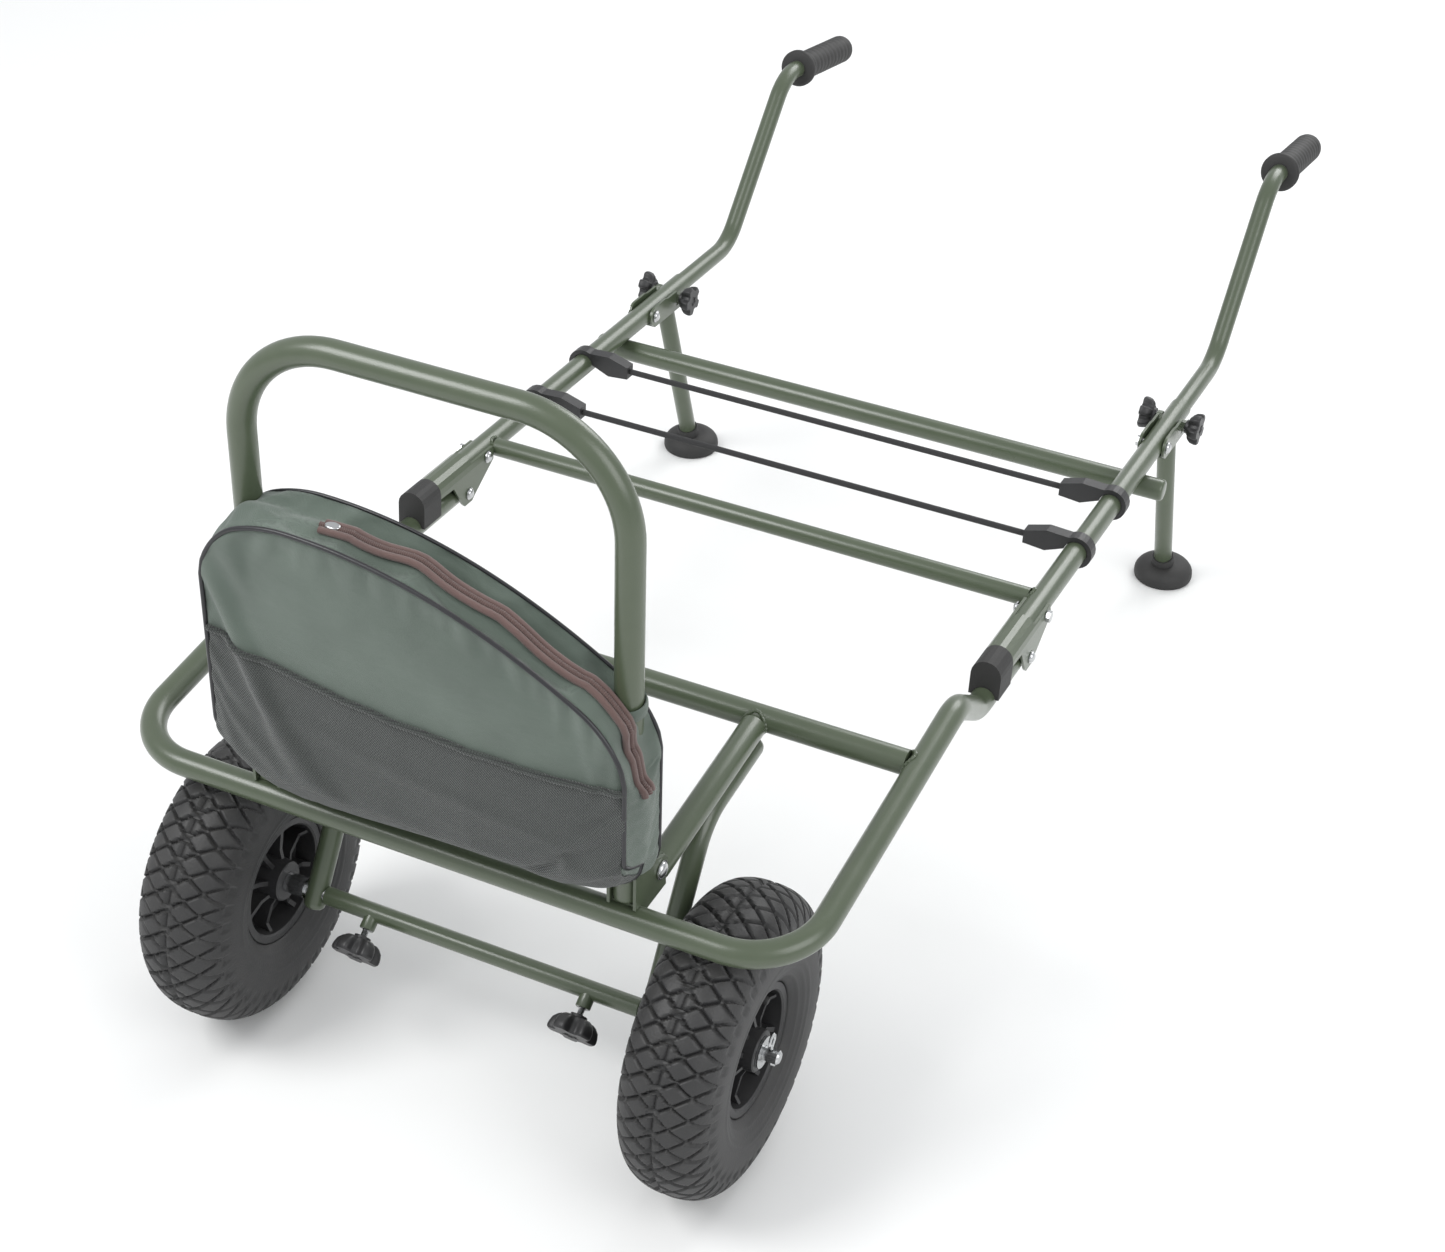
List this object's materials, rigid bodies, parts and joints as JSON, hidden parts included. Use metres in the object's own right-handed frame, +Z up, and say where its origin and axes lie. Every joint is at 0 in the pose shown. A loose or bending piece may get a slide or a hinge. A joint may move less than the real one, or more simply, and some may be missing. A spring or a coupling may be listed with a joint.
{
  "type": "folding wheelbarrow",
  "caption": "Folding tubular barrow on a wheeled front axle, with a hinged load frame, front hoop and bag, elastic cords, folding legs and upswept clamp-on handles.",
  "frame": {"origin": "on the ground under the middle of the barrow's length and width, with the barrow standing on its wheels and feet", "axes": "+Y along the barrow from the wheels to the handles, +X to the right when looking along +Y, +Z up"},
  "size_m": [0.641, 1.5188, 0.7039],
  "materials": {
    "frame_paint": "satin dark olive green",
    "fittings": "bright zinc plate",
    "knobs": "moulded black",
    "rim": "moulded black",
    "tyre": "black rubber with a block tread",
    "black_rubber": "matt black",
    "bag": "woven green polyester with a black mesh pocket",
    "cord": "braided black elastic"
  },
  "bodies": {
    "chassis": {"front_tube": "frame_paint", "front_crossbar": "frame_paint", "axle_tube": "frame_paint", "inner_rail_left": "frame_paint", "inner_rail_right": "frame_paint", "rail_lug_left": "frame_paint", "rail_lug_right": "frame_paint", "strut_left": "frame_paint", "strut_right": "frame_paint", "hoop_bolt_left": "fittings", "hoop_bolt_right": "fittings"},
    "rear_frame": {"front_spreader": "frame_paint", "rear_spreader": "frame_paint", "elastic_cord_front": "cord", "elastic_cord_rear": "cord", "side_tube_left": "frame_paint", "side_tube_right": "frame_paint", "end_block_left": "black_rubber", "end_block_right": "black_rubber", "saddle_left": "frame_paint", "saddle_right": "frame_paint", "hinge_bolt_left": "fittings", "hinge_bolt_right": "fittings", "keeper_bolt_left": "fittings", "keeper_bolt_right": "fittings", "hook_front_left": "knobs", "hook_front_right": "knobs", "hook_rear_left": "knobs", "hook_rear_right": "knobs"},
    "hoop_frame": {"hoop": "frame_paint", "bag": "bag"},
    "leg_assembly_left": {"leg_left": "frame_paint", "foot_left": "black_rubber", "leg_bolt_left": "fittings"},
    "leg_assembly_right": {"leg_right": "frame_paint", "foot_right": "black_rubber", "leg_bolt_right": "fittings"},
    "leg_clamp_left": {"leg_knob_left": "knobs"},
    "leg_clamp_right": {"leg_knob_right": "knobs"},
    "handle_assembly_left": {"handle_left": "frame_paint", "grip_left": "black_rubber"},
    "handle_assembly_right": {"handle_right": "frame_paint", "grip_right": "black_rubber"},
    "handle_clamp_left": {"handle_knob_left": "knobs"},
    "handle_clamp_right": {"handle_knob_right": "knobs"},
    "axle_assembly_left": {"axle_left": "fittings", "washer_left": "fittings", "split_pin_left": "fittings"},
    "axle_assembly_right": {"axle_right": "fittings", "washer_right": "fittings", "split_pin_right": "fittings"},
    "wheel_left": {"tyre_left": "tyre", "rim_left": "rim"},
    "wheel_right": {"tyre_right": "tyre", "rim_right": "rim"},
    "axle_clamp_left": {"axle_knob_left": "knobs"},
    "axle_clamp_right": {"axle_knob_right": "knobs"}
  },
  "joints": [
    {"name": "rear_fold", "type": "hinge", "parent": "chassis", "child": "rear_frame", "pos_m": [0, -0.16889, 0.2343], "axis": [-1, 0, 0], "range_deg": [0, 120]},
    {"name": "hoop_fold", "type": "hinge", "parent": "chassis", "child": "hoop_frame", "pos_m": [0, -0.64389, 0.296], "axis": [-1, 0, 0], "range_deg": [0, 90]},
    {"name": "leg_fold_left", "type": "hinge", "parent": "rear_frame", "child": "leg_assembly_left", "pos_m": [-0.288, 0.2328, 0.23573], "axis": [-1, 0, 0], "range_deg": [0, 108]},
    {"name": "leg_fold_right", "type": "hinge", "parent": "rear_frame", "child": "leg_assembly_right", "pos_m": [0.288, 0.2328, 0.23573], "axis": [-1, 0, 0], "range_deg": [0, 108]},
    {"name": "leg_knob_turn_left", "type": "hinge", "parent": "leg_assembly_left", "child": "leg_clamp_left", "pos_m": [-0.288, 0.28771, 0.23271], "axis": [1, 0, 0], "range_deg": [0, 360]},
    {"name": "leg_knob_turn_right", "type": "hinge", "parent": "leg_assembly_right", "child": "leg_clamp_right", "pos_m": [0.288, 0.28771, 0.23271], "axis": [1, 0, 0], "range_deg": [0, 360]},
    {"name": "handle_slide_left", "type": "slide", "parent": "rear_frame", "child": "handle_assembly_left", "axis": [0, 0.9985, -0.0549], "range_m": [0, 0.05]},
    {"name": "handle_slide_right", "type": "slide", "parent": "rear_frame", "child": "handle_assembly_right", "axis": [0, 0.9985, -0.0549], "range_m": [0, 0.05]},
    {"name": "handle_knob_turn_left", "type": "hinge", "parent": "rear_frame", "child": "handle_clamp_left", "pos_m": [-0.288, 0.2957, 0.23227], "axis": [-1, 0, 0], "range_deg": [0, 360]},
    {"name": "handle_knob_turn_right", "type": "hinge", "parent": "rear_frame", "child": "handle_clamp_right", "pos_m": [0.288, 0.2957, 0.23227], "axis": [-1, 0, 0], "range_deg": [0, 360]},
    {"name": "axle_slide_left", "type": "slide", "parent": "chassis", "child": "axle_assembly_left", "axis": [-1, 0, 0], "range_m": [0, 0.04]},
    {"name": "axle_slide_right", "type": "slide", "parent": "chassis", "child": "axle_assembly_right", "axis": [1, 0, 0], "range_m": [0, 0.04]},
    {"name": "wheel_turn_left", "type": "hinge", "parent": "axle_assembly_left", "child": "wheel_left", "pos_m": [-0.221, -0.62989, 0.13], "axis": [1, 0, 0], "continuous": true},
    {"name": "wheel_turn_right", "type": "hinge", "parent": "axle_assembly_right", "child": "wheel_right", "pos_m": [0.221, -0.62989, 0.13], "axis": [1, 0, 0], "continuous": true},
    {"name": "axle_knob_turn_left", "type": "hinge", "parent": "chassis", "child": "axle_clamp_left", "pos_m": [-0.102, -0.62989, 0.13], "axis": [0, -0.8387, -0.5446], "range_deg": [0, 360]},
    {"name": "axle_knob_turn_right", "type": "hinge", "parent": "chassis", "child": "axle_clamp_right", "pos_m": [0.102, -0.62989, 0.13], "axis": [0, -0.8387, -0.5446], "range_deg": [0, 360]}
  ]
}
